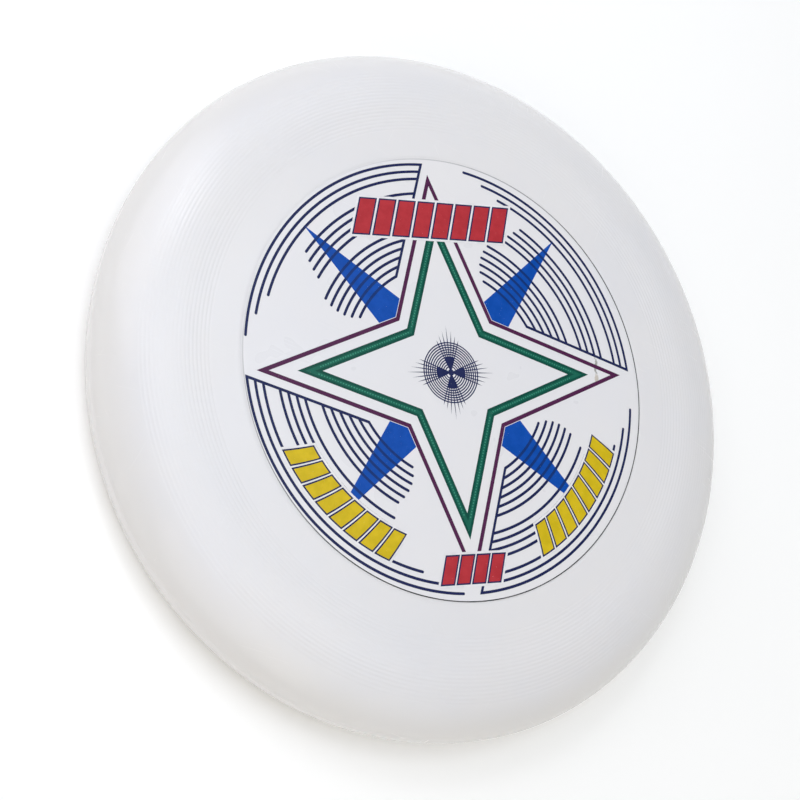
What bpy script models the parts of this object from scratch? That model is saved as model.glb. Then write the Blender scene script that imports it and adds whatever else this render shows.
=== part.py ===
"""A moulded flying disc for lawn play: one polyethylene shell with its printed transfer.

The disc lies on its rim. The origin is the centre of the rim's base plane, +Z runs up the
disc's axis and +Y is the top of the printed artwork. Blender units are metres; the driving
dimensions below are in millimetres and are scaled by MM where a mesh is made.

The real object is one injection moulding that carries a thin round transfer film with
six printed ink colours. Each ink is laid down as its own thin layer, so each connected
area of ink is its own object here.
"""

import math

import bpy

MM = 0.001

# ---- shell: a turned profile --------------------------------------------------------
RADIUS = 137.0  # largest radius, a 274 mm disc
WIDEST_Z = 13.4  # height of the largest radius above the base plane
SHOULDER_A = 29.7  # horizontal half-axis of the shoulder's quarter ellipse
SHOULDER_B = 17.13  # vertical half-axis of the shoulder's quarter ellipse
DOME = 1.47  # rise of the flight plate from the rim's radius to the centre
TUCK = 5.4  # how far the lower rim curls in below the widest point
PLATE_T = 1.5  # flight plate thickness
RIM_T = 4.6  # wall thickness at the widest point
WALL_POWER = 2.0  # how late along the shoulder the wall thickens
LAND_OUT = 131.0  # outer radius of the flat land that the disc rests on
LAND_IN = 129.0  # inner radius of that land
LIP_IN = 128.2  # smallest inner radius of the rim
GATE_R = 5.0  # radius of the moulding gate's pad under the plate
GATE_T = 0.7  # how far the pad stands down from the plate
SEGMENTS = 96

# ---- print ---------------------------------------------------------------------------
FILM_R = 87.0  # transfer film radius
FILM_T = 0.10
FILM_SEGMENTS = 60
LAYER_GAP = 0.03
INK_T = 0.03
INK_GAP = 0.02
ART_X, ART_Y = -1.8, 0.3  # the artwork's registration error on the disc

POINTS = 4  # compass rose
TIP_R = 80.0
WAIST_R = 30.0
OUTLINE_W = 1.7
BAND_AT = 5.4  # green band's distance inside the outline's outer edge
BAND_W = 3.4
RAY_TIP_R = 79.0
RAY_HALF_W = 7.0
RAY_GAP = 0.25  # from the notch to the spear's foot, along the diagonal

# groups of arcs: first radius, count, share of the free span that the first arc fills, and
# how much each next arc adds to that share
ARC_GROUPS = ((42.0, 6, 0.97, -0.040), (63.0, 4, 0.70, -0.025), (78.0, 3, 0.80, 0.065))
ARC_PITCH = 3.0
ARC_W = 1.15
SPINE_GAP = 3.0

HUB_DOT_R = 1.8
HUB_RINGS = (4.8, 8.2, 11.6)
HUB_RING_W = 0.8
HUB_FAN = (-18, 0, 18)  # degrees: three spokes round each of the four main directions
HUB_SPOKE_R = 17.0
HUB_SPOKE_W = 0.5

BLOCK_SLANT = 0.32


def material(name, rgb, roughness, specular=0.5):
    made = bpy.data.materials.new(name)
    made.use_nodes = True
    shader = made.node_tree.nodes["Principled BSDF"]
    shader.inputs["Base Color"].default_value = (*rgb, 1.0)
    shader.inputs["Roughness"].default_value = roughness
    shader.inputs["Metallic"].default_value = 0.0
    shader.inputs["Specular IOR Level"].default_value = specular
    made.diffuse_color = (*rgb, 1.0)
    return made


# ---- surfaces -------------------------------------------------------------------------
SHOULDER_R = RADIUS - SHOULDER_A


def dome(r):
    return DOME * (1.0 - (r / RADIUS) ** 2)


def shoulder(angle):
    """A point on the outer shoulder: angle 90 degrees is its inner end, 0 the widest point."""
    r = SHOULDER_R + SHOULDER_A * math.cos(angle)
    return r, WIDEST_Z + SHOULDER_B * math.sin(angle) + dome(r)


def plate_top(r):
    return WIDEST_Z + SHOULDER_B + dome(r)


def wall_inside(angle):
    """The inner surface under the shoulder: the outer point moved in along its normal."""
    r, z = shoulder(angle)
    dr = -SHOULDER_A * math.sin(angle)
    dz = SHOULDER_B * math.cos(angle) - 2.0 * DOME * r / RADIUS**2 * dr
    length = math.hypot(dr, dz)
    late = (1.0 - angle / (math.pi / 2.0)) ** WALL_POWER
    thick = PLATE_T + (RIM_T - PLATE_T) * late
    return r - dz / length * thick, z + dr / length * thick


def shell_profile():
    """(r, z) from the top of the axis round the rim to the underside of the axis."""
    points = [(r, plate_top(r)) for r in (22.0, 44.0, 66.0, FILM_R, 98.0, SHOULDER_R)]
    for step in range(1, 10):
        points.append(shoulder(math.pi / 2.0 * (1.0 - step / 9.0)))
    for step in range(1, 5):
        turn = math.radians(19.0 * step)
        points.append(
            (RADIUS - TUCK + TUCK * math.cos(turn), WIDEST_Z * (1.0 - math.sin(turn)))
        )
    points += [(LAND_OUT, 0.0), (LAND_IN, 0.0)]
    points += [(LIP_IN + 0.25, 0.5), (LIP_IN, 1.7), (LIP_IN + 0.3, 4.5), (LIP_IN + 1.9, 9.0)]
    for step in range(0, 6):
        points.append(wall_inside(math.pi / 2.0 * (step / 5.0)))
    points += [(r, plate_top(r) - PLATE_T) for r in (66.0, 30.0, GATE_R + 0.6)]
    points += [(GATE_R, plate_top(GATE_R) - PLATE_T - GATE_T)]
    return points


def turned(name, profile, top_z, under_z, segments, skin):
    """A closed turned solid. The profile starts beside the axis on top and ends beside it below."""
    vertices = [(0.0, 0.0, top_z * MM)]
    for r, z in profile:
        for k in range(segments):
            turn = 2.0 * math.pi * k / segments
            vertices.append((r * math.cos(turn) * MM, r * math.sin(turn) * MM, z * MM))
    vertices.append((0.0, 0.0, under_z * MM))
    last = len(vertices) - 1
    ring = lambda row, k: 1 + row * segments + k % segments
    faces = [(0, ring(0, k), ring(0, k + 1)) for k in range(segments)]
    for row in range(len(profile) - 1):
        for k in range(segments):
            faces.append(
                (ring(row, k), ring(row + 1, k), ring(row + 1, k + 1), ring(row, k + 1))
            )
    row = len(profile) - 1
    faces += [(last, ring(row, k + 1), ring(row, k)) for k in range(segments)]
    return mesh_object(name, vertices, faces, skin, smooth=math.radians(35.0))


def mesh_object(name, vertices, faces, skin, smooth=None):
    mesh = bpy.data.meshes.new(name)
    mesh.from_pydata(vertices, [], faces)
    mesh.validate()
    mesh.update()
    if smooth is not None:
        mesh.shade_smooth()
        mesh.set_sharp_from_angle(angle=smooth)
    made = bpy.data.objects.new(name, mesh)
    made.data.materials.append(skin)
    bpy.context.scene.collection.objects.link(made)
    made.parent = disc
    return made


# ---- thin printed layers ---------------------------------------------------------------
class Sheet:
    """Flat cells in the artwork's plane, thickened into one closed layer on the domed plate."""

    def __init__(self):
        self.points, self.index, self.cells = [], {}, []

    def at(self, x, y):
        key = (round(x, 4), round(y, 4))
        if key not in self.index:
            self.index[key] = len(self.points)
            self.points.append((x, y))
        return self.index[key]

    def cell(self, *corners):
        ids = [self.at(x, y) for x, y in corners]
        ids = [v for i, v in enumerate(ids) if v != ids[i - 1]]
        area = sum(
            self.points[a][0] * self.points[b][1] - self.points[b][0] * self.points[a][1]
            for a, b in zip(ids, ids[1:] + ids[:1])
        )
        self.cells.append(ids if area > 0 else ids[::-1])

    def solid(self, name, lift, thick, skin):
        vertices = []
        for x, y in self.points:
            x, y = x + ART_X, y + ART_Y
            vertices.append((x * MM, y * MM, (plate_top(math.hypot(x, y)) + lift + thick) * MM))
        for x, y in self.points:
            x, y = x + ART_X, y + ART_Y
            vertices.append((x * MM, y * MM, (plate_top(math.hypot(x, y)) + lift) * MM))
        count = len(self.points)
        edges = {(a, b) for ids in self.cells for a, b in zip(ids, ids[1:] + ids[:1])}
        faces = [tuple(ids) for ids in self.cells]
        faces += [tuple(v + count for v in reversed(ids)) for ids in self.cells]
        faces += [
            (a + count, b + count, b, a) for a, b in sorted(edges) if (b, a) not in edges
        ]
        return mesh_object(name, vertices, faces, skin)


FIRST_LIFT = LAYER_GAP + FILM_T + INK_GAP
SECOND_LIFT = FIRST_LIFT + INK_T + INK_GAP
THIRD_LIFT = SECOND_LIFT + INK_T + INK_GAP

# The compass rose's edge is a straight line from a tip to a waist point.
HALF_STEP = math.pi / POINTS
WAIST = (WAIST_R * math.cos(HALF_STEP), WAIST_R * math.sin(HALF_STEP))
EDGE_LENGTH = math.hypot(TIP_R - WAIST[0], WAIST[1])
EDGE_NORMAL = math.atan2(TIP_R - WAIST[0], WAIST[1])  # azimuth of the edge's normal
EDGE_DISTANCE = TIP_R * math.cos(EDGE_NORMAL)  # the edge line's distance from the centre
TIP_HALF = math.pi / 2.0 - EDGE_NORMAL


def polar(r, turn):
    return r * math.cos(turn), r * math.sin(turn)


def rose_corner(k, inset):
    """Corner k of the rose moved in by inset: even corners are tips, odd ones are waists."""
    if k % 2 == 0:
        return polar(TIP_R - inset / math.sin(TIP_HALF), k * HALF_STEP)
    return polar((EDGE_DISTANCE - inset) / math.cos(EDGE_NORMAL - HALF_STEP), k * HALF_STEP)


def between(a, b, share):
    return a[0] + (b[0] - a[0]) * share, a[1] + (b[1] - a[1]) * share


def rose_band(inset, width, steps=6):
    sheet = Sheet()
    for k in range(2 * POINTS):
        outer = rose_corner(k, inset), rose_corner(k + 1, inset)
        inner = rose_corner(k, inset + width), rose_corner(k + 1, inset + width)
        for s in range(steps):
            a, b = s / steps, (s + 1) / steps
            sheet.cell(
                between(*outer, a), between(*outer, b), between(*inner, b), between(*inner, a)
            )
    return sheet


def ray(turn):
    """A blue spear on a diagonal, its foot cut parallel to the rose's notch."""
    foot = WAIST_R + RAY_GAP
    slope = math.tan(math.pi / 2.0 - (EDGE_NORMAL - HALF_STEP))
    shoulder_u = foot + RAY_HALF_W / slope
    stations = [(foot, 0.0), (shoulder_u, RAY_HALF_W)]
    for share in (0.25, 0.5, 0.75):
        stations.append(
            (shoulder_u + (RAY_TIP_R - shoulder_u) * share, RAY_HALF_W * (1.0 - share))
        )
    stations.append((RAY_TIP_R, 0.0))
    place = lambda u, v: (
        u * math.cos(turn) - v * math.sin(turn),
        u * math.sin(turn) + v * math.cos(turn),
    )
    sheet = Sheet()
    for (u0, v0), (u1, v1) in zip(stations, stations[1:]):
        sheet.cell(place(u0, -v0), place(u1, -v1), place(u1, v1), place(u0, v0))
    return sheet


def edge_turn(r, away):
    """Azimuth, from a tip's own, where the line parallel to the rose's edge meets radius r."""
    return EDGE_NORMAL - math.acos(min(1.0, (EDGE_DISTANCE + away) / r))


def arcs(quarter):
    """(radius, share of the free span) of each arc in a quarter, from the inside out."""
    for group, (first, count, share, change) in enumerate(ARC_GROUPS):
        swing = 0.05 * math.cos(1.9 * quarter + 1.3 * group)
        for i in range(count):
            yield first + ARC_PITCH * i, min(1.0, share + change * i + swing)


def comb(quarter):
    """Concentric arcs that hang from one straight spine along the rose's edge."""
    sheet = Sheet()
    base = quarter * 2.0 * HALF_STEP
    near = lambda r: base + edge_turn(r, SPINE_GAP)
    far = lambda r: base + edge_turn(r, SPINE_GAP + ARC_W)
    before = None
    for mid, share in arcs(quarter):
        r0, r1 = mid - ARC_W / 2.0, mid + ARC_W / 2.0
        if before is not None:
            sheet.cell(
                polar(before, near(before)), polar(before, far(before)),
                polar(r0, far(r0)), polar(r0, near(r0)),
            )
        sheet.cell(
            polar(r0, near(r0)), polar(r0, far(r0)), polar(r1, far(r1)), polar(r1, near(r1))
        )
        free = 2.0 * (base + HALF_STEP - far(mid))
        end = far(mid) + free * share
        steps = max(2, math.ceil(math.degrees(end - far(mid)) / 8.0))
        for s in range(steps):
            inner = [far(r0) + (end - far(r0)) * (s + e) / steps for e in (0, 1)]
            outer = [far(r1) + (end - far(r1)) * (s + e) / steps for e in (0, 1)]
            sheet.cell(
                polar(r0, inner[0]), polar(r0, inner[1]), polar(r1, outer[1]), polar(r1, outer[0])
            )
        before = r1
    return sheet


def hub():
    """A centre dot with rings, joined by thin radial spokes in four fans."""
    sheet = Sheet()
    turns = [math.radians(90 * quarter + off) for quarter in range(4) for off in HUB_FAN]
    half = lambda r: math.asin(HUB_SPOKE_W / 2.0 / r)
    radii = [HUB_DOT_R]
    for ring in HUB_RINGS:
        radii += [ring - HUB_RING_W / 2.0, ring + HUB_RING_W / 2.0]
    radii.append(HUB_SPOKE_R)
    for turn, after in zip(turns, turns[1:] + [turns[0] + 2.0 * math.pi]):
        steps = max(1, round(math.degrees(after - turn) / 18.0))
        free = lambda r, s: turn + half(r) + (after - turn - 2.0 * half(r)) * s / steps
        sheet.cell(
            (0.0, 0.0), polar(HUB_DOT_R, turn - half(HUB_DOT_R)), polar(HUB_DOT_R, turn + half(HUB_DOT_R))
        )
        for s in range(steps):
            sheet.cell(
                (0.0, 0.0), polar(HUB_DOT_R, free(HUB_DOT_R, s)), polar(HUB_DOT_R, free(HUB_DOT_R, s + 1))
            )
        for row, (r0, r1) in enumerate(zip(radii, radii[1:])):
            sheet.cell(
                polar(r0, turn - half(r0)), polar(r0, turn + half(r0)),
                polar(r1, turn + half(r1)), polar(r1, turn - half(r1)),
            )
            for s in range(steps if row % 2 == 1 else 0):
                sheet.cell(
                    polar(r0, free(r0, s)), polar(r0, free(r0, s + 1)),
                    polar(r1, free(r1, s + 1)), polar(r1, free(r1, s)),
                )
    return sheet


def block(length, height, place, columns=8, rows=2):
    """A slanted block. place maps (along, up) to the artwork's plane."""
    sheet = Sheet()
    lean = lambda i, j: place(
        length * (i / columns - 0.5) + BLOCK_SLANT * height * (j / rows - 0.5), height * j / rows
    )
    for i in range(columns):
        for j in range(rows):
            sheet.cell(lean(i, j), lean(i + 1, j), lean(i + 1, j + 1), lean(i, j + 1))
    return sheet


def straight(y):
    return lambda x, h: (x, y + h)


def curved(r, middle):
    """Along a circle of radius r, anticlockwise, with up pointing in to the centre."""
    return lambda x, h: polar(r - h, middle + x / r)


# ---- the scene starts empty --------------------------------------------------------------
for old in list(bpy.data.objects):
    bpy.data.objects.remove(old, do_unlink=True)

disc = bpy.data.objects.new("flying_disc", None)
bpy.context.scene.collection.objects.link(disc)

white = material("moulded_polyethylene", (0.80, 0.80, 0.82), 0.38)
clear = material("transfer_film", (0.76, 0.77, 0.80), 0.30)
navy = material("ink_navy", (0.020, 0.030, 0.115), 0.34)
blue = material("ink_blue", (0.003, 0.075, 0.400), 0.34)
green = material("ink_green", (0.006, 0.125, 0.070), 0.34)
purple = material("ink_purple", (0.105, 0.018, 0.090), 0.34)
red = material("ink_red", (0.560, 0.030, 0.045), 0.34)
yellow = material("ink_yellow", (0.800, 0.560, 0.015), 0.34)

turned(
    "disc_shell",
    shell_profile(),
    plate_top(0.0),
    plate_top(0.0) - PLATE_T - GATE_T,
    SEGMENTS,
    white,
)

film_rings = (22.0, 44.0, 66.0, FILM_R)
film_top = [(r, plate_top(r) + LAYER_GAP + FILM_T) for r in film_rings]
film_under = [(r, plate_top(r) + LAYER_GAP) for r in reversed(film_rings)]
turned(
    "print_film",
    film_top + film_under,
    plate_top(0.0) + LAYER_GAP + FILM_T,
    plate_top(0.0) + LAYER_GAP,
    FILM_SEGMENTS,
    clear,
)

rose_band(0.0, OUTLINE_W).solid("ink_purple_outline", FIRST_LIFT, INK_T, purple)
rose_band(BAND_AT, BAND_W).solid("ink_green_band", FIRST_LIFT, INK_T, green)
for quarter, side in enumerate(("ne", "nw", "sw", "se")):
    middle = (2 * quarter + 1) * HALF_STEP
    ray(middle).solid(f"ink_blue_ray_{side}", FIRST_LIFT, INK_T, blue)
    comb(quarter).solid(f"ink_navy_comb_{side}", SECOND_LIFT, INK_T, navy)
hub().solid("ink_navy_hub", SECOND_LIFT, INK_T, navy)

block(66.0, 14.0, straight(54.0)).solid("ink_red_block_top", THIRD_LIFT, INK_T, red)
block(25.0, 10.0, straight(-80.0), 4).solid("ink_red_block_bottom", THIRD_LIFT, INK_T, red)
block(56.0, 11.0, curved(78.0, math.radians(224.0)), 10).solid(
    "ink_yellow_block_left", THIRD_LIFT, INK_T, yellow
)
block(56.0, 11.0, curved(78.0, math.radians(316.0)), 10).solid(
    "ink_yellow_block_right", THIRD_LIFT, INK_T, yellow
)
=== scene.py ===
import math

import bpy
import numpy as np
from mathutils import Matrix, Vector


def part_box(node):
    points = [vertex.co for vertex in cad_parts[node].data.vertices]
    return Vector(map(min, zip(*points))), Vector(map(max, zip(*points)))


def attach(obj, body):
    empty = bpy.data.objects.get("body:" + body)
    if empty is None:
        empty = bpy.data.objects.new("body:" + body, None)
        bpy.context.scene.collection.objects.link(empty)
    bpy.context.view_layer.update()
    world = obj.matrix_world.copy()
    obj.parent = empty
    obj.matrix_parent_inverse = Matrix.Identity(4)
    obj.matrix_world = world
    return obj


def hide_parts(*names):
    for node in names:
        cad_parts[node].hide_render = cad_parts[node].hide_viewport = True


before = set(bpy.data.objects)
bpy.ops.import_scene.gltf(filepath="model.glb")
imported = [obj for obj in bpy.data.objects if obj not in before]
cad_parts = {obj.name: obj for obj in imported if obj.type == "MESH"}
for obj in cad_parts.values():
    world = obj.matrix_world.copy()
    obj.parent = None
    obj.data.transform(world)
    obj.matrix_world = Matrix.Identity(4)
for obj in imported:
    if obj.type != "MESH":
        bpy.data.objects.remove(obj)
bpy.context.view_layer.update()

MM = 0.001

# ------------------------------------------------------------------------------------
# Dimensions in millimetres, the same as the CAD model's
# ------------------------------------------------------------------------------------
shell_low, shell_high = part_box("disc_shell")
RADIUS = (shell_high.x - shell_low.x) / 2.0 / MM
WIDEST_Z, SHOULDER_A, SHOULDER_B, DOME = 13.4, 29.7, 17.13, 1.47
TUCK, PLATE_T, RIM_T, WALL_POWER = 5.4, 1.5, 4.6, 2.0
LAND_OUT, LAND_IN, LIP_IN = 131.0, 129.0, 128.2
GATE_R, GATE_T = 5.0, 0.7
SHOULDER_R = RADIUS - SHOULDER_A

film_low, film_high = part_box("print_film")
FILM_R = (film_high.x - film_low.x) / 2.0 / MM
ART_X, ART_Y = -1.8, 0.3
FILM_UNDER, FILM_TOP = 0.03, 0.12
LIFT_1, LIFT_2, LIFT_HALO, LIFT_LINE, LIFT_3 = 0.13, 0.15, 0.17, 0.19, 0.21
INK_T = 0.012

POINTS, TIP_R, WAIST_R = 4, 80.0, 30.0
OUTLINE_W, BAND_AT, BAND_W = 1.6, 5.4, 3.4
RAY_TIP_R, RAY_HALF_W, RAY_GAP = 79.0, 7.0, 0.25
# groups of arcs: first radius, count, share of the free span, and its change per arc
ARC_GROUPS = ((42.0, 6, 0.97, -0.040), (63.0, 4, 0.70, -0.025), (78.0, 3, 0.80, 0.065))
ARC_PITCH, ARC_W, SPINE_GAP = 3.0, 1.08, 3.0
BLOCK_SLANT = 0.32

RINGS_FROM, RINGS_TO, RING_PITCH, RING_DEPTH = 98.4, 124.6, 1.45, 0.050


# ------------------------------------------------------------------------------------
# Node helpers
# ------------------------------------------------------------------------------------
class Nodes:
    """A small builder for one material's node tree."""

    def __init__(self, name):
        self.material = bpy.data.materials.new(name)
        self.material.use_nodes = True
        self.tree = self.material.node_tree
        self.shader = self.tree.nodes["Principled BSDF"]

    def new(self, kind, **settings):
        node = self.tree.nodes.new(kind)
        for key, value in settings.items():
            setattr(node, key, value)
        return node

    def link(self, a, b):
        self.tree.links.new(a, b)

    def set(self, node, **values):
        for key, value in values.items():
            node.inputs[key.replace("_", " ")].default_value = value
        return node

    def coords(self):
        return self.new("ShaderNodeTexCoord").outputs["Object"]

    def mapped(self, vector, scale=(1, 1, 1), turn=(0, 0, 0), move=(0, 0, 0)):
        node = self.new("ShaderNodeMapping")
        node.inputs["Scale"].default_value = scale
        node.inputs["Rotation"].default_value = turn
        node.inputs["Location"].default_value = move
        self.link(vector, node.inputs["Vector"])
        return node.outputs["Vector"]

    def noise(self, vector, scale, detail=3.0, rough=0.5):
        node = self.new("ShaderNodeTexNoise")
        node.inputs["Scale"].default_value = scale
        node.inputs["Detail"].default_value = detail
        node.inputs["Roughness"].default_value = rough
        self.link(vector, node.inputs["Vector"])
        return node.outputs["Fac"]

    def math(self, operation, a, b=None, clamp=False):
        node = self.new("ShaderNodeMath", operation=operation, use_clamp=clamp)
        for socket, value in zip(node.inputs, (a, b)):
            if value is None:
                continue
            if isinstance(value, (int, float)):
                socket.default_value = value
            else:
                self.link(value, socket)
        return node.outputs[0]

    def ramp(self, value, low, high, out_low=0.0, out_high=1.0, smooth=True):
        node = self.new("ShaderNodeMapRange")
        node.interpolation_type = "SMOOTHSTEP" if smooth else "LINEAR"
        node.inputs["From Min"].default_value = low
        node.inputs["From Max"].default_value = high
        node.inputs["To Min"].default_value = out_low
        node.inputs["To Max"].default_value = out_high
        self.link(value, node.inputs["Value"])
        return node.outputs["Result"]

    def mix(self, factor, a, b):
        node = self.new("ShaderNodeMix", data_type="RGBA")
        if isinstance(factor, (int, float)):
            node.inputs[0].default_value = factor
        else:
            self.link(factor, node.inputs[0])
        for socket, value in ((node.inputs[6], a), (node.inputs[7], b)):
            if isinstance(value, tuple):
                socket.default_value = (*value, 1.0)
            else:
                self.link(value, socket)
        return node.outputs[2]

    def split(self, vector):
        node = self.new("ShaderNodeSeparateXYZ")
        self.link(vector, node.inputs[0])
        return node.outputs

    def bump(self, height, strength, distance, normal=None):
        node = self.new("ShaderNodeBump")
        node.inputs["Strength"].default_value = strength
        node.inputs["Distance"].default_value = distance
        self.link(height, node.inputs["Height"])
        if normal is not None:
            self.link(normal, node.inputs["Normal"])
        return node.outputs["Normal"]


def scratches(n, vector, turn, scale, sparse):
    """Long hairline scratches: the crests of a noise stretched along one direction, in places only."""
    turned_vector = n.mapped(vector, turn=(0, 0, turn))
    streak = n.noise(n.mapped(turned_vector, scale=(scale * 0.014, scale, scale * 0.02)), 1.0, 1.0)
    line = n.ramp(streak, 0.69, 0.75)
    where = n.ramp(n.noise(vector, 38.0 + 7.0 * turn, 2.0), sparse, sparse + 0.12)
    return n.math("MULTIPLY", line, where)


def polyethylene(name, base, film=False):
    """White moulded polyethylene: faint mottling, fine grain, a few hairline scratches, rim wear and painted shade on
    the rim.
    """
    n = Nodes(name)
    at = n.coords()
    x, y, z = n.split(at)
    cloud = n.noise(at, 9.0, 3.0, 0.55)
    patch = n.noise(at, 55.0, 2.0, 0.5)
    tone = n.math("ADD", n.math("MULTIPLY", cloud, 0.7), n.math("MULTIPLY", patch, 0.3))
    cool = tuple(c * s for c, s in zip(base, (0.985, 0.990, 1.0)))
    warm = tuple(c * s for c, s in zip(base, (1.010, 1.005, 0.995)))
    colour = n.mix(n.ramp(tone, 0.35, 0.65), cool, warm)
    lines = scratches(n, at, 0.4, 2300.0, 0.48)
    lines = n.math("MAXIMUM", lines, scratches(n, at, 2.1, 1900.0, 0.52))
    lines = n.math("MAXIMUM", lines, scratches(n, at, 1.25, 2100.0, 0.55))
    lines = n.math("MULTIPLY", lines, n.ramp(z, 0.010, 0.024, 0.15, 0.5 if film else 1.0))
    colour = n.mix(n.math("MULTIPLY", lines, 0.12), colour, tuple(c * 0.72 for c in base))
    if film:
        # a small scuff in the film, near the right-hand point: a thin bent stroke over a paler smear
        def blot(mid_x, mid_y, half_x, half_y, bend):
            wave = n.math("MULTIPLY", n.math("SINE", n.math("MULTIPLY", n.math("SUBTRACT", y, mid_y), 900.0)), bend)
            across = n.math("DIVIDE", n.math("SUBTRACT", n.math("SUBTRACT", x, mid_x), wave), half_x)
            along = n.math("DIVIDE", n.math("SUBTRACT", y, mid_y), half_y)
            reach = n.math("SQRT", n.math("ADD", n.math("MULTIPLY", along, along), n.math("MULTIPLY", across, across)))
            ragged = n.math("ADD", reach, n.math("MULTIPLY", n.math("SUBTRACT", n.noise(at, 1500.0, 3.0), 0.5), 1.1))
            return n.ramp(ragged, 0.55, 1.05, 1.0, 0.0)

        stroke, smear = blot(0.0667, 0.0040, 0.00080, 0.0040, 0.0005), blot(0.0662, -0.0016, 0.00110, 0.0025, 0.0002)
        colour = n.mix(n.math("MULTIPLY", smear, 0.75), colour, (0.50, 0.44, 0.36))
        colour = n.mix(n.math("MULTIPLY", stroke, 0.85), colour, (0.26, 0.27, 0.24))
        scuff = n.math("MAXIMUM", stroke, smear)
        rough = n.math("ADD", n.ramp(patch, 0.3, 0.7, 0.27, 0.33), n.math("MULTIPLY", scuff, 0.3))
    else:
        # the rim is painted a little darker and warmer than the plate: painted shade standing in for the dimmer, warmer
        # light that the rim gets
        flat = n.math("SQRT", n.math("ADD", n.math("MULTIPLY", x, x), n.math("MULTIPLY", y, y)))
        rim_painted_shade = n.math("MULTIPLY", n.ramp(flat, 0.1220, 0.1370), n.ramp(cloud, 0.30, 0.70, 0.8, 1.0))
        # painted shade: outer rim colour darkened and warmed by radius
        colour = n.mix(rim_painted_shade, colour, tuple(c * s for c, s in zip(base, (0.930, 0.920, 0.885))))
        low = n.ramp(z, 0.0002, 0.0060, 1.0, 0.0)
        worn = n.math("MULTIPLY", low, n.ramp(n.noise(at, 160.0, 4.0, 0.65), 0.38, 0.66))
        colour = n.mix(n.math("MULTIPLY", worn, 0.30), colour, (0.60, 0.55, 0.49))
        rough = n.math("ADD", n.ramp(patch, 0.3, 0.7, 0.19, 0.24), n.math("MULTIPLY", worn, 0.25))
    rough = n.math("ADD", rough, n.math("MULTIPLY", lines, 0.15))
    n.link(colour, n.shader.inputs["Base Color"])
    n.link(rough, n.shader.inputs["Roughness"])
    grain = n.noise(at, 2600.0, 2.0, 0.6)
    peel = n.noise(at, 420.0, 2.0, 0.5)
    height = n.math("ADD", n.math("MULTIPLY", grain, 0.35), n.math("MULTIPLY", peel, 0.65))
    normal = n.bump(height, 0.10, 0.00006)
    normal = n.bump(lines, 0.18, 0.00002, normal)
    n.link(normal, n.shader.inputs["Normal"])
    s = n.shader
    s.inputs["IOR"].default_value = 1.51
    s.inputs["Subsurface Weight"].default_value = 0.0 if film else 0.22
    s.inputs["Subsurface Radius"].default_value = (1.0, 0.92, 0.85)
    s.inputs["Subsurface Scale"].default_value = 0.0035
    s.inputs["Specular IOR Level"].default_value = 0.45
    return n.material


def ink(name, base, roughness=0.30, speckle=0.35):
    """Printed ink: small density changes, pinholes where it missed the film, and a slight gloss."""
    n = Nodes(name)
    at = n.coords()
    density = n.noise(at, 260.0, 4.0, 0.6)
    fine = n.noise(at, 2400.0, 2.0, 0.6)
    dark = tuple(c * 0.93 for c in base)
    light = tuple(min(1.0, c * 1.05 + 0.002) for c in base)
    colour = n.mix(n.ramp(density, 0.32, 0.68), dark, light)
    colour = n.mix(n.ramp(fine, 0.60, 0.80, 0.0, speckle), colour, tuple(c * 0.75 + 0.05 for c in base))
    pinhole = n.ramp(n.noise(at, 2600.0, 1.0, 0.4), 0.775, 0.80)
    colour = n.mix(n.math("MULTIPLY", pinhole, 0.45), colour, (0.60, 0.60, 0.62))
    n.link(colour, n.shader.inputs["Base Color"])
    n.link(n.ramp(density, 0.3, 0.7, roughness - 0.02, roughness + 0.04), n.shader.inputs["Roughness"])
    n.link(n.bump(fine, 0.12, 0.00002), n.shader.inputs["Normal"])
    n.shader.inputs["IOR"].default_value = 1.45
    n.shader.inputs["Specular IOR Level"].default_value = 0.22
    return n.material


def edge_line(name):
    """The print's cut edge: a dark line that is strongest at the lower side and fades to nothing at the upper left;
    this fade is painted shade, the line darkest on the side turned away from the light.
    """
    n = Nodes(name)
    at = n.coords()
    x, y, _ = n.split(at)
    turn = n.math("ARCTAN2", y, x)
    # painted shade: the line's darkness set by direction, full on the side away from the light, none where the light
    # falls
    swing = n.math("COSINE", n.math("SUBTRACT", turn, math.radians(315.0)))
    painted_shade_side = n.ramp(swing, -1.0, 0.22, 0.0, 1.0, smooth=False)
    broken = n.ramp(n.noise(at, 140.0, 3.0), 0.30, 0.62, 0.88, 1.0)
    line_and_painted_shade = n.math("MULTIPLY", n.math("POWER", painted_shade_side, 0.85), broken, clamp=True)
    colour = n.mix(line_and_painted_shade, WHITE_FILM, (0.012, 0.016, 0.020))
    n.link(colour, n.shader.inputs["Base Color"])
    n.link(n.ramp(broken, 0.88, 1.0, 0.6, 0.5), n.shader.inputs["Roughness"])
    n.shader.inputs["Specular IOR Level"].default_value = 0.2
    return n.material


WHITE_SHELL = (0.785, 0.778, 0.800)
WHITE_FILM = (0.780, 0.775, 0.802)


def srgb(r, g, b):
    return tuple(((c / 255.0 + 0.055) / 1.055) ** 2.4 if c > 10 else c / 255.0 / 12.92 for c in (r, g, b))


# ------------------------------------------------------------------------------------
# Surfaces
# ------------------------------------------------------------------------------------
def dome(r):
    return DOME * (1.0 - (r / RADIUS) ** 2)


def plate_top(r):
    return WIDEST_Z + SHOULDER_B + dome(r)


def shoulder(angle):
    r = SHOULDER_R + SHOULDER_A * math.cos(angle)
    return r, WIDEST_Z + SHOULDER_B * math.sin(angle) + dome(r)


def shoulder_at(r):
    angle = math.acos(max(0.0, min(1.0, (r - SHOULDER_R) / SHOULDER_A)))
    return shoulder(angle)[1] if r > SHOULDER_R else plate_top(r)


def wall_inside(angle):
    r, z = shoulder(angle)
    dr = -SHOULDER_A * math.sin(angle)
    dz = SHOULDER_B * math.cos(angle) - 2.0 * DOME * r / RADIUS**2 * dr
    length = math.hypot(dr, dz)
    late = (1.0 - angle / (math.pi / 2.0)) ** WALL_POWER
    thick = PLATE_T + (RIM_T - PLATE_T) * late
    return r - dz / length * thick, z + dr / length * thick


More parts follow.
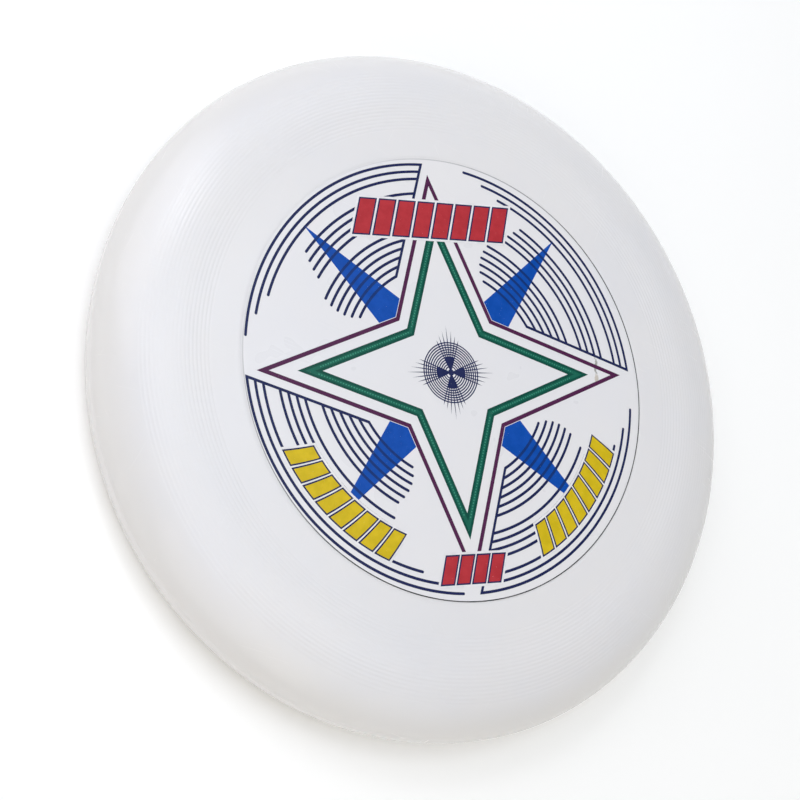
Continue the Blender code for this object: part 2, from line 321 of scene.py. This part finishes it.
def flight_ring(r):
    """How far the surface lies below the ridges' crests at radius r."""
    if not RINGS_FROM < r < RINGS_TO:
        return 0.0
    phase = (r - RINGS_FROM) / RING_PITCH * 2.0 * math.pi
    fade = min(1.0, (r - RINGS_FROM) / 1.0, (RINGS_TO - r) / 1.0)
    wave = 0.5 - 0.5 * math.cos(phase)
    return RING_DEPTH * fade * wave**1.4


def smooth_curve(points, steps):
    """A Catmull-Rom curve through the points, so that the lip has no facets."""
    made = []
    p = [points[0], *points, points[-1]]
    for a, b, c, d in zip(p, p[1:], p[2:], p[3:]):
        for s in range(steps):
            t = s / steps
            made.append(tuple(
                0.5 * (2 * b[i] + (c[i] - a[i]) * t + (2 * a[i] - 5 * b[i] + 4 * c[i] - d[i]) * t**2
                       + (3 * b[i] - a[i] - 3 * c[i] + d[i]) * t**3)
                for i in (0, 1)
            ))
    made.append(points[-1])
    return made


def shell_profile():
    points = [(r, plate_top(r)) for r in (3.0, 12.0, 24.0, 36.0, 48.0, 60.0, 70.0, 78.0, 84.0)]
    # a shallow witness groove where the transfer's edge was pressed in
    points += [(r, plate_top(r) - d) for r, d in (
        (86.2, 0.0), (86.8, 0.0), (87.05, 0.05), (87.3, 0.06), (87.55, 0.04), (87.9, 0.0), (88.6, 0.0),
        (90.5, 0.0), (93.0, 0.0), (95.5, 0.0), (97.4, 0.0))]
    r = RINGS_FROM
    while r < RINGS_TO + 1e-6:
        points.append((r, shoulder_at(r) - flight_ring(r)))
        r += RING_PITCH / 8.0
    start = math.acos((RINGS_TO + 0.5 - SHOULDER_R) / SHOULDER_A)
    for s in range(0, 31):
        angle = start * (1.0 - s / 30.0)
        if abs(angle - math.radians(4.5)) > math.radians(1.1):
            points.append(shoulder(angle))
        elif not any(abs(p[1] - shoulder(math.radians(4.5))[1]) < 0.02 for p in points):
            # the mould's parting line, a fine ridge just above the widest point
            for off, rise in ((1.0, 0.0), (0.55, 0.0), (0.22, 0.035), (0.0, 0.05), (-0.22, 0.035), (-0.55, 0.0), (-1.0, 0.0)):
                r, z = shoulder(math.radians(4.5 + off))
                points.append((min(RADIUS, r + rise), z))
    for s in range(1, 23):
        turn = math.radians(76.0 * s / 22.0)
        points.append((RADIUS - TUCK + TUCK * math.cos(turn), WIDEST_Z * (1.0 - math.sin(turn))))
    last = points[-1]
    points += smooth_curve([last, (LAND_OUT + 0.45, 0.10), (LAND_OUT, 0.0)], 5)[1:]
    points.append((LAND_IN, 0.0))
    inner_start = wall_inside(0.0)
    points += smooth_curve([
        (LAND_IN, 0.0), (LAND_IN - 0.35, 0.10), (LIP_IN + 0.25, 0.5), (LIP_IN, 1.7), (LIP_IN + 0.3, 4.5),
        (LIP_IN + 1.9, 9.0), inner_start], 6)[1:]
    for s in range(1, 31):
        points.append(wall_inside(math.pi / 2.0 * s / 30.0))
    for r in (104.0, 98.0, 90.0, 78.0, 64.0, 48.0, 32.0, 18.0, 9.0):
        points.append((r, plate_top(r) - PLATE_T))
    under = plate_top(GATE_R) - PLATE_T
    points += smooth_curve([
        (GATE_R + 1.4, under), (GATE_R + 0.5, under - 0.06), (GATE_R + 0.1, under - 0.35),
        (GATE_R - 0.1, under - GATE_T + 0.08), (GATE_R - 0.6, under - GATE_T)], 3)
    # the trimmed gate stub in the middle of the pad
    points += [(3.2, under - GATE_T), (2.1, under - GATE_T), (1.8, under - GATE_T - 0.05),
               (1.6, under - GATE_T - 0.32), (1.3, under - GATE_T - 0.42), (0.5, under - GATE_T - 0.36)]
    clean = [points[0]]
    for p in points[1:]:
        if math.hypot(p[0] - clean[-1][0], p[1] - clean[-1][1]) > 0.012:
            clean.append(p)
    return clean


def object_from(name, vertices, faces, materials, indices=None, smooth=None):
    mesh = bpy.data.meshes.new(name)
    mesh.from_pydata(vertices, [], faces)
    for m in materials:
        mesh.materials.append(m)
    if indices is not None:
        mesh.polygons.foreach_set("material_index", indices)
    mesh.update()
    if smooth is not None:
        mesh.shade_smooth()
        mesh.set_sharp_from_angle(angle=math.radians(smooth))
    made = bpy.data.objects.new(name, mesh)
    bpy.context.scene.collection.objects.link(made)
    return made


def turned(name, profile, top_z, under_z, segments, skin, smooth=40.0):
    turns = np.arange(segments) * (2.0 * np.pi / segments)
    rz = np.array(profile)
    grid = np.stack([
        rz[:, None, 0] * np.cos(turns)[None], rz[:, None, 0] * np.sin(turns)[None],
        np.repeat(rz[:, 1:2], segments, axis=1)], axis=-1).reshape(-1, 3)
    vertices = np.vstack([[0.0, 0.0, top_z], grid, [0.0, 0.0, under_z]]) * MM
    last = len(vertices) - 1
    k = np.arange(segments)
    after = (k + 1) % segments
    faces = [(0, int(1 + a), int(1 + b)) for a, b in zip(k, after)]
    for row in range(len(profile) - 1):
        a, b = 1 + row * segments, 1 + (row + 1) * segments
        faces += np.stack([a + k, b + k, b + after, a + after], axis=1).tolist()
    a = 1 + (len(profile) - 1) * segments
    faces += [(last, int(a + q), int(a + p)) for p, q in zip(k, after)]
    return object_from(name, vertices.tolist(), faces, [skin], smooth=smooth)


# ------------------------------------------------------------------------------------
# Printed layers
# ------------------------------------------------------------------------------------
class Sheet:
    """Flat cells in the artwork's plane, thickened into a closed layer on the domed plate."""

    def __init__(self, art=True):
        self.points, self.index, self.cells, self.kinds = [], {}, [], []
        self.move = (ART_X, ART_Y) if art else (0.0, 0.0)

    def at(self, x, y):
        key = (round(x, 4), round(y, 4))
        if key not in self.index:
            self.index[key] = len(self.points)
            self.points.append((x, y))
        return self.index[key]

    def cell(self, *corners, kind=0):
        ids = [self.at(x, y) for x, y in corners]
        ids = [v for i, v in enumerate(ids) if v != ids[i - 1]]
        area = sum(
            self.points[a][0] * self.points[b][1] - self.points[b][0] * self.points[a][1]
            for a, b in zip(ids, ids[1:] + ids[:1])
        )
        self.cells.append(ids if area > 0 else ids[::-1])
        self.kinds.append(kind)

    def solid(self, name, lift, materials, thick=INK_T):
        high, low = [], []
        for x, y in self.points:
            x, y = x + self.move[0], y + self.move[1]
            z = plate_top(math.hypot(x, y)) + lift
            high.append((x * MM, y * MM, (z + thick) * MM))
            low.append((x * MM, y * MM, z * MM))
        count = len(self.points)
        owner = {}
        for ids, kind in zip(self.cells, self.kinds):
            for a, b in zip(ids, ids[1:] + ids[:1]):
                owner[a, b] = kind
        faces = [tuple(ids) for ids in self.cells]
        faces += [tuple(v + count for v in reversed(ids)) for ids in self.cells]
        kinds = self.kinds * 2
        for (a, b), kind in sorted(owner.items()):
            if (b, a) not in owner:
                faces.append((a + count, b + count, b, a))
                kinds.append(kind)
        return object_from(name, high + low, faces, materials, kinds)


HALF_STEP = math.pi / POINTS
WAIST = (WAIST_R * math.cos(HALF_STEP), WAIST_R * math.sin(HALF_STEP))
EDGE_NORMAL = math.atan2(TIP_R - WAIST[0], WAIST[1])
EDGE_DISTANCE = TIP_R * math.cos(EDGE_NORMAL)
TIP_HALF = math.pi / 2.0 - EDGE_NORMAL


def polar(r, turn):
    return r * math.cos(turn), r * math.sin(turn)


def between(a, b, share):
    return a[0] + (b[0] - a[0]) * share, a[1] + (b[1] - a[1]) * share


def rose_corner(k, inset):
    if k % 2 == 0:
        return polar(TIP_R - inset / math.sin(TIP_HALF), k * HALF_STEP)
    return polar((EDGE_DISTANCE - inset) / math.cos(EDGE_NORMAL - HALF_STEP), k * HALF_STEP)


def rose_band(inset, width, steps=16):
    sheet = Sheet()
    for k in range(2 * POINTS):
        outer = rose_corner(k, inset), rose_corner(k + 1, inset)
        inner = rose_corner(k, inset + width), rose_corner(k + 1, inset + width)
        for s in range(steps):
            a, b = s / steps, (s + 1) / steps
            sheet.cell(between(*outer, a), between(*outer, b), between(*inner, b), between(*inner, a))
    return sheet


def rose_dashes(rows, width, dash, gap):
    """Rows of small light dots along the green band."""
    sheet = Sheet()
    for row, inset in enumerate(rows):
        for k in range(2 * POINTS):
            a, b = rose_corner(k, inset), rose_corner(k + 1, inset)
            length = math.hypot(b[0] - a[0], b[1] - a[1])
            ux, uy = (b[0] - a[0]) / length, (b[1] - a[1]) / length
            nx, ny = -uy * width / 2.0, ux * width / 2.0
            shift = (dash + gap) / 2.0 * row
            start, stop = (3.4 + shift, length - 0.9) if k % 2 == 0 else (0.9 + shift, length - 3.4)
            count = int((stop - start + gap) / (dash + gap))
            for i in range(count):
                s0 = start + i * (dash + gap)
                p = (a[0] + ux * s0, a[1] + uy * s0)
                q = (p[0] + ux * dash, p[1] + uy * dash)
                sheet.cell((p[0] + nx, p[1] + ny), (p[0] - nx, p[1] - ny), (q[0] - nx, q[1] - ny), (q[0] + nx, q[1] + ny))
    return sheet


RAY_SLOPE = math.tan(math.pi / 2.0 - (EDGE_NORMAL - HALF_STEP))
RAY_FOOT = WAIST_R + RAY_GAP
RAY_SHOULDER = RAY_FOOT + RAY_HALF_W / RAY_SLOPE


def ray(turn, steps=14):
    stations = [(RAY_FOOT, 0.0), ((RAY_FOOT + RAY_SHOULDER) / 2.0, RAY_HALF_W / 2.0), (RAY_SHOULDER, RAY_HALF_W)]
    for s in range(1, steps + 1):
        share = s / steps
        stations.append((RAY_SHOULDER + (RAY_TIP_R - RAY_SHOULDER) * share, RAY_HALF_W * (1.0 - share)))
    place = lambda u, v: (u * math.cos(turn) - v * math.sin(turn), u * math.sin(turn) + v * math.cos(turn))
    sheet = Sheet()
    for (u0, v0), (u1, v1) in zip(stations, stations[1:]):
        sheet.cell(place(u0, -v0), place(u1, -v1), place(u1, v1), place(u0, v0))
    return sheet


def ray_half_turn(r):
    """Half the angle that the blue spear covers at radius r, or 0 outside it."""
    if r >= RAY_TIP_R - 0.3 or r <= RAY_SHOULDER + 0.6:
        return 0.0
    low, high = 0.0, 0.5
    for _ in range(40):
        mid = (low + high) / 2.0
        u, v = r * math.cos(mid), r * math.sin(mid)
        inside = v < RAY_HALF_W * (RAY_TIP_R - u) / (RAY_TIP_R - RAY_SHOULDER)
        low, high = (mid, high) if inside else (low, mid)
    return low


def edge_turn(r, away):
    return EDGE_NORMAL - math.acos(min(1.0, (EDGE_DISTANCE + away) / r))


def arcs(quarter):
    """(radius, share of the free span) of each arc in a quarter, from the inside out."""
    for group, (first, count, share, change) in enumerate(ARC_GROUPS):
        swing = 0.05 * math.cos(1.9 * quarter + 1.3 * group)
        for i in range(count):
            yield first + ARC_PITCH * i, min(1.0, share + change * i + swing)


def comb(quarter):
    """Concentric arcs from one straight spine. Kind 1 is where an arc prints across the blue spear."""
    sheet = Sheet()
    base = quarter * 2.0 * HALF_STEP
    middle = base + HALF_STEP
    near = lambda r: base + edge_turn(r, SPINE_GAP)
    far = lambda r: base + edge_turn(r, SPINE_GAP + ARC_W)
    before = None
    for mid, share in arcs(quarter):
        r0, r1 = mid - ARC_W / 2.0, mid + ARC_W / 2.0
        if before is not None:
            sheet.cell(polar(before, near(before)), polar(before, far(before)), polar(r0, far(r0)), polar(r0, near(r0)))
        sheet.cell(polar(r0, near(r0)), polar(r0, far(r0)), polar(r1, far(r1)), polar(r1, near(r1)))
        end = far(mid) + 2.0 * (middle - far(mid)) * share
        stops = lambda r: [far(r), middle - ray_half_turn(r), middle + ray_half_turn(r), end]
        parts = [(0, 1, 0), (1, 2, 1), (2, 3, 0)] if ray_half_turn(mid) > 0.0 else [(0, 3, 0)]
        for first, second, kind in parts:
            inner = stops(r0)[first], stops(r0)[second]
            outer = stops(r1)[first], stops(r1)[second]
            steps = max(1, math.ceil(math.degrees(inner[1] - inner[0]) / 1.6))
            for s in range(steps):
                a = [inner[0] + (inner[1] - inner[0]) * (s + e) / steps for e in (0, 1)]
                b = [outer[0] + (outer[1] - outer[0]) * (s + e) / steps for e in (0, 1)]
                sheet.cell(polar(r0, a[0]), polar(r0, a[1]), polar(r1, b[1]), polar(r1, b[0]), kind=kind)
        # the arc's rounded end
        cx, cy = polar(mid, end)
        cap = [polar(r0, end)]
        for s in range(1, 8):
            t = end + math.pi + math.pi * -s / 8.0
            cap.append((cx + ARC_W / 2.0 * math.cos(t), cy + ARC_W / 2.0 * math.sin(t)))
        cap.append(polar(r1, end))
        sheet.cell(*cap)
        before = r1
    return sheet


HUB_FIRST, HUB_PITCH, HUB_COUNT, HUB_RING_W, HUB_DOT_R = 2.35, 0.94, 11, 0.48, 1.3
HUB_FAN = 7  # fine spokes round each of the four main directions
HUB_FAN_STEP = math.radians(7.0)
HUB_FUSED_R = 5.9  # the fan is solid inside this radius
HUB_TIPS = (19.2, 17.2, 15.6, 14.2)  # spoke lengths from the fan's middle outwards


def hub():
    """Fine rings crossed by four fans of spokes, which fuse into wedges near the centre."""
    sheet = Sheet()
    half = lambda r: min(HUB_FAN_STEP * 0.40, 0.19 / r)
    radii = [HUB_DOT_R]
    for k in range(HUB_COUNT):
        ring = HUB_FIRST + HUB_PITCH * k
        radii += [ring - HUB_RING_W / 2.0, ring + HUB_RING_W / 2.0]
    rows = list(zip(radii, radii[1:]))
    edge = HUB_FAN_STEP * (HUB_FAN - 1) / 2.0
    for quarter in range(4):
        base = quarter * math.pi / 2.0
        spokes = [base - edge + HUB_FAN_STEP * j for j in range(HUB_FAN)]
        last = lambda r: spokes[-1] + half(r)
        wide = lambda r: base + math.pi / 2.0 - edge - half(r) - last(r)
        for j, turn in enumerate(spokes):
            for row, (r0, r1) in enumerate(rows):
                sheet.cell(
                    polar(r0, turn - half(r0)), polar(r0, turn + half(r0)),
                    polar(r1, turn + half(r1)), polar(r1, turn - half(r1)))
                if j + 1 < HUB_FAN and (row % 2 == 1 or r1 < HUB_FUSED_R):
                    after = spokes[j + 1]
                    sheet.cell(
                        polar(r0, turn + half(r0)), polar(r0, after - half(r0)),
                        polar(r1, after - half(r1)), polar(r1, turn + half(r1)))
            r1 = radii[-1]
            tip = HUB_TIPS[abs(j - HUB_FAN // 2)] - (0.7 if quarter % 2 else 0.0)
            sheet.cell(polar(r1, turn - half(r1)), polar(r1, turn + half(r1)), polar(tip, turn))
            sheet.cell((0.0, 0.0), polar(HUB_DOT_R, turn - half(HUB_DOT_R)), polar(HUB_DOT_R, turn + half(HUB_DOT_R)))
            if j + 1 < HUB_FAN:
                sheet.cell((0.0, 0.0), polar(HUB_DOT_R, turn + half(HUB_DOT_R)), polar(HUB_DOT_R, spokes[j + 1] - half(HUB_DOT_R)))
        for s in range(8):
            at = lambda r, e: last(r) + wide(r) * (s + e) / 8.0
            sheet.cell((0.0, 0.0), polar(HUB_DOT_R, at(HUB_DOT_R, 0)), polar(HUB_DOT_R, at(HUB_DOT_R, 1)))
            for r0, r1 in rows[1::2]:
                sheet.cell(polar(r0, at(r0, 0)), polar(r0, at(r0, 1)), polar(r1, at(r1, 1)), polar(r1, at(r1, 0)))
    return sheet


def slab(x0, x1, height, place, grow=0.0, sheet=None):
    """One slanted slab from x0 to x1 at its middle height, grown by grow all round."""
    sheet = sheet or Sheet()
    side = grow * math.hypot(1.0, BLOCK_SLANT)
    x0, x1 = x0 - side, x1 + side
    rows = [-grow + (height + 2.0 * grow) * s / 4.0 for s in range(5)]
    parts = max(1, math.ceil((x1 - x0) / 2.6))
    lean = lambda x, h: place(x + BLOCK_SLANT * (h - height / 2.0), h)
    for i in range(parts):
        a, b = x0 + (x1 - x0) * i / parts, x0 + (x1 - x0) * (i + 1) / parts
        for h0, h1 in zip(rows, rows[1:]):
            sheet.cell(lean(a, h0), lean(b, h0), lean(b, h1), lean(a, h1))
    return sheet


def bars(length, height, place, count, gap, grow=0.0):
    """The block cut into equal slanted bars."""
    sheet = Sheet()
    width = (length - gap * (count - 1)) / count
    for i in range(count):
        x = -length / 2.0 + i * (width + gap)
        slab(x, x + width, height, place, grow, sheet)
    return sheet


def straight(y):
    return lambda x, h: (x, y + h)


def curved(r, middle):
    return lambda x, h: polar(r - h, middle + x / r)


def ring_sheet(r0, r1, segments=240):
    sheet = Sheet(art=False)
    for k in range(segments):
        a, b = 2.0 * math.pi * k / segments, 2.0 * math.pi * (k + 1) / segments
        sheet.cell(polar(r0, a), polar(r0, b), polar(r1, b), polar(r1, a))
    return sheet


# ------------------------------------------------------------------------------------
# Materials
# ------------------------------------------------------------------------------------
white = polyethylene("visual_moulded_polyethylene", WHITE_SHELL)
film_white = polyethylene("visual_transfer_film", WHITE_FILM, film=True)
navy = ink("visual_ink_navy", srgb(27, 36, 82))
navy_on_blue = ink("visual_ink_navy_on_blue", srgb(8, 50, 116), speckle=0.15)
blue = ink("visual_ink_blue", srgb(0, 74, 170), speckle=0.12)
green = ink("visual_ink_green", srgb(0, 74, 62))
green_mid = ink("visual_ink_green_mid", srgb(18, 98, 80), speckle=0.2)
green_light = ink("visual_ink_green_light", srgb(62, 148, 122))
purple = ink("visual_ink_purple", srgb(78, 29, 71))
red = ink("visual_ink_red", srgb(178, 48, 57))
yellow = ink("visual_ink_yellow", srgb(209, 182, 24))
halo_white = ink("visual_ink_white", WHITE_FILM, speckle=0.0)
edge_ink_and_painted_shade = edge_line("visual_print_edge_and_painted_shade")

# ------------------------------------------------------------------------------------
# Pieces
# ------------------------------------------------------------------------------------
def keep(piece, slot, *nodes):
    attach(piece, "root")
    if nodes:
        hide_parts(*nodes)
    return piece


profile = shell_profile()
shell = turned(
    "shell_moulding", profile, plate_top(0.0), profile[-1][1], 300, white, smooth=38.0)
keep(shell, "moulded_polyethylene", "disc_shell")

film_rings = [6.0, 16.0, 28.0, 40.0, 52.0, 64.0, 74.0, 81.0, 85.0, FILM_R - 0.25]
film_profile = [(r, plate_top(r) + FILM_TOP) for r in film_rings]
film_profile += [(FILM_R - 0.05, plate_top(FILM_R) + FILM_TOP - 0.03), (FILM_R, plate_top(FILM_R) + FILM_UNDER + 0.03)]
film_profile += [(r, plate_top(r) + FILM_UNDER) for r in [FILM_R - 0.05] + film_rings[::-1]]
film = turned("print_carrier", film_profile, plate_top(0.0) + FILM_TOP, plate_top(0.0) + FILM_UNDER, 240, film_white, smooth=50.0)
keep(film, "transfer_film", "print_film")

# the print's dark edge line, with painted shade making it darkest on the side away from the light
keep(ring_sheet(FILM_R - 0.48, FILM_R - 0.06).solid("print_edge_line", FILM_TOP + 0.004, [edge_ink_and_painted_shade], 0.006), "transfer_film")
keep(rose_band(0.0, OUTLINE_W).solid("rose_outline", LIFT_1, [purple]), "ink_purple", "ink_purple_outline")
keep(rose_band(BAND_AT, BAND_W).solid("rose_band", LIFT_1, [green]), "ink_green", "ink_green_band")
keep(rose_band(BAND_AT + 1.05, 1.3).solid("rose_band_centre", LIFT_2 - 0.006, [green_mid], 0.006), "ink_green")
keep(rose_dashes((BAND_AT + BAND_W / 2.0,), 0.42, 0.50, 0.62).solid("rose_dashes", LIFT_2, [green_light]), "ink_green")
for quarter, side in enumerate(("ne", "nw", "sw", "se")):
    middle = (2 * quarter + 1) * HALF_STEP
    keep(ray(middle).solid(f"spear_{side}", LIFT_1, [blue]), "ink_blue", f"ink_blue_ray_{side}")
    keep(comb(quarter).solid(f"arcs_{side}", LIFT_2, [navy, navy_on_blue]), "ink_navy", f"ink_navy_comb_{side}")
keep(hub().solid("hub_rings", LIFT_2, [navy]), "ink_navy", "ink_navy_hub")

for name, (length, height, place, count, gap), skin, slot_name, node in (
    ("bars_top", (66.0, 14.0, straight(54.0), 8, 2.1), red, "ink_red", "ink_red_block_top"),
    ("bars_bottom", (25.0, 10.0, straight(-80.0), 4, 1.8), red, "ink_red", "ink_red_block_bottom"),
    ("bars_left", (56.0, 11.0, curved(78.0, math.radians(224.0)), 8, 1.9), yellow, "ink_yellow", "ink_yellow_block_left"),
    ("bars_right", (56.0, 11.0, curved(78.0, math.radians(316.0)), 8, 1.9), yellow, "ink_yellow", "ink_yellow_block_right"),
):
    halo = slab(-length / 2.0, length / 2.0, height, place, 1.5)
    keep(halo.solid(f"{name}_halo", LIFT_HALO, [halo_white]), "transfer_film")
    keep(bars(length, height, place, count, gap, 0.6).solid(f"{name}_outline", LIFT_LINE, [navy]), "ink_navy")
    keep(bars(length, height, place, count, gap).solid(name, LIFT_3, [skin]), slot_name, node)

# ------------------------------------------------------------------------------------
# Studio
# ------------------------------------------------------------------------------------
scene = bpy.context.scene
HORIZON = 0.78
AIR = (1.0, 0.992, 0.955)
floor_nodes = Nodes("stage_floor")
floor_at = floor_nodes.coords()
floor_tone = floor_nodes.noise(floor_at, 1.3, 2.0)
floor_nodes.link(floor_nodes.mix(floor_nodes.ramp(floor_tone, 0.3, 0.7), (0.975, 0.975, 0.975), (0.985, 0.985, 0.985)), floor_nodes.shader.inputs["Base Color"])
floor_nodes.shader.inputs["Roughness"].default_value = 0.9
floor_nodes.shader.inputs["Specular IOR Level"].default_value = 0.0
# far from the lights the floor glows a little, so that it meets the backdrop without a line
away = floor_nodes.new("ShaderNodeVectorMath", operation="LENGTH")
floor_nodes.link(floor_at, away.inputs[0])
floor_nodes.link(floor_nodes.ramp(away.outputs["Value"], 0.35, 2.2, 0.05, HORIZON - 0.24), floor_nodes.shader.inputs["Emission Strength"])
floor_nodes.shader.inputs["Emission Color"].default_value = (*AIR, 1.0)
rings, spokes = (0.5, 1.0, 2.0, 4.0, 9.0), 96
floor_points = [(0.0, 0.0, 0.0)] + [
    (r * math.cos(2.0 * math.pi * k / spokes), r * math.sin(2.0 * math.pi * k / spokes), 0.0) for r in rings for k in range(spokes)]
floor_faces = [(0, 1 + k, 1 + (k + 1) % spokes) for k in range(spokes)]
for row in range(len(rings) - 1):
    a, b = 1 + row * spokes, 1 + (row + 1) * spokes
    floor_faces += [(a + k, b + k, b + (k + 1) % spokes, a + (k + 1) % spokes) for k in range(spokes)]
floor = object_from("studio_floor", floor_points, floor_faces, [floor_nodes.material])

world = bpy.data.worlds.new("studio_world")
scene.world = world
world.use_nodes = True
sky = world.node_tree
direction = sky.nodes.new("ShaderNodeTexCoord")
upward = sky.nodes.new("ShaderNodeSeparateXYZ")
glow = sky.nodes.new("ShaderNodeMapRange")  # white near the horizon, dimmer overhead
glow.interpolation_type = "SMOOTHSTEP"
for socket_name, value in (("From Min", 0.02), ("From Max", 0.42), ("To Min", HORIZON), ("To Max", 0.18)):
    glow.inputs[socket_name].default_value = value
sky.links.new(direction.outputs["Generated"], upward.inputs[0])
sky.links.new(upward.outputs["Z"], glow.inputs["Value"])
sky.links.new(glow.outputs["Result"], sky.nodes["Background"].inputs["Strength"])
sky.nodes["Background"].inputs["Color"].default_value = (*AIR, 1.0)


def softbox(name, direction, distance, size, power, colour=(1.0, 1.0, 1.0)):
    light = bpy.data.lights.new(name, "AREA")
    light.shape = "RECTANGLE"
    light.size, light.size_y = size
    light.energy = power
    light.color = colour
    lamp = bpy.data.objects.new(name, light)
    scene.collection.objects.link(lamp)
    away = Vector(direction).normalized()
    lamp.location = away * distance
    lamp.rotation_mode = "QUATERNION"
    lamp.rotation_quaternion = away.to_track_quat("Z", "Y")
    return lamp


softbox("top_softbox", (0.001, 0.0, 1.0), 1.6, (1.4, 1.4), 10.7, (0.925, 0.950, 1.0))
softbox("back_softbox", (0.0, 0.53, 0.848), 1.6, (1.4, 1.4), 4.7, (0.86, 0.93, 1.0))
softbox("key_softbox", (-0.13, 0.61, 0.78), 1.6, (0.26, 0.26), 1.05, (0.95, 0.97, 1.0))
softbox("left_back_softbox", (-0.472, 0.669, 0.574), 1.6, (1.3, 1.3), 9.2, (0.96, 0.96, 1.0))
softbox("left_front_softbox", (-0.491, -0.656, 0.574), 1.6, (1.3, 1.3), 5.15, (1.0, 0.93, 0.87))
softbox("front_softbox", (-0.012, -0.819, 0.574), 1.6, (1.3, 1.3), 2.95, (1.0, 0.99, 0.82))

scene.view_settings.view_transform = "Standard"
scene.view_settings.look = "None"
scene.view_settings.exposure = 0.0
scene.view_settings.gamma = 1.0

# the photograph's view: axes of the camera in the disc's frame
CAM_RIGHT = Vector((0.8764, -0.1078, 0.4693))
CAM_DOWN = Vector((0.0033, -0.9733, -0.2296))
CAM_AT = Vector((-0.29283, -0.12318, 0.50587))
camera_data = bpy.data.cameras.new("camera")
camera_data.sensor_width = 36.0
camera_data.lens = 1496.05 / 800.0 * 36.0
camera_data.clip_start, camera_data.clip_end = 0.02, 20.0
camera = bpy.data.objects.new("camera", camera_data)
scene.collection.objects.link(camera)
right = CAM_RIGHT.normalized()
up = (-CAM_DOWN - right * right.dot(-CAM_DOWN)).normalized()
back = right.cross(up)
camera.matrix_world = Matrix((
    (right.x, up.x, back.x, CAM_AT.x),
    (right.y, up.y, back.y, CAM_AT.y),
    (right.z, up.z, back.z, CAM_AT.z),
    (0.0, 0.0, 0.0, 1.0),
))
scene.camera = camera
